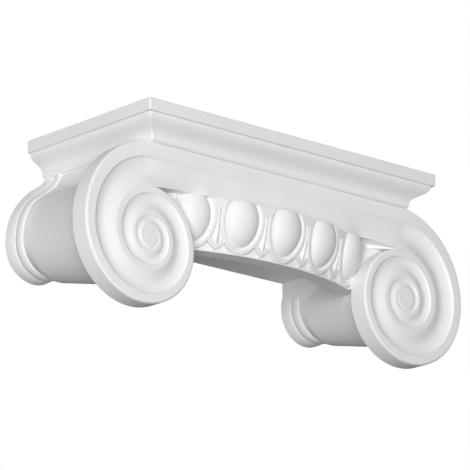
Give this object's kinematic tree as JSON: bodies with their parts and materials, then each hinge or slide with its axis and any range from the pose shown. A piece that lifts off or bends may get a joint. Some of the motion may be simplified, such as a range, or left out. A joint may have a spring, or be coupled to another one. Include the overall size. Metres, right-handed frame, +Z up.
{
  "type": "ionic half capital",
  "caption": "Half capital for an engaged column: moulded abacus, two spiral volutes with rolled sides, and a curved band of eggs and darts that is hollow behind.",
  "frame": {"origin": "on the flat back face that sits against the wall, midway across it, 35 mm below the top of the abacus", "axes": "+X along the front, the longest way; +Y out of the back face, into the wall; +Z up"},
  "size_m": [0.4214, 0.157, 0.1673],
  "materials": {
    "paint": "smooth matt white primer on hard foam"
  },
  "bodies": {
    "root": {"capital": "paint"}
  },
  "joints": []
}
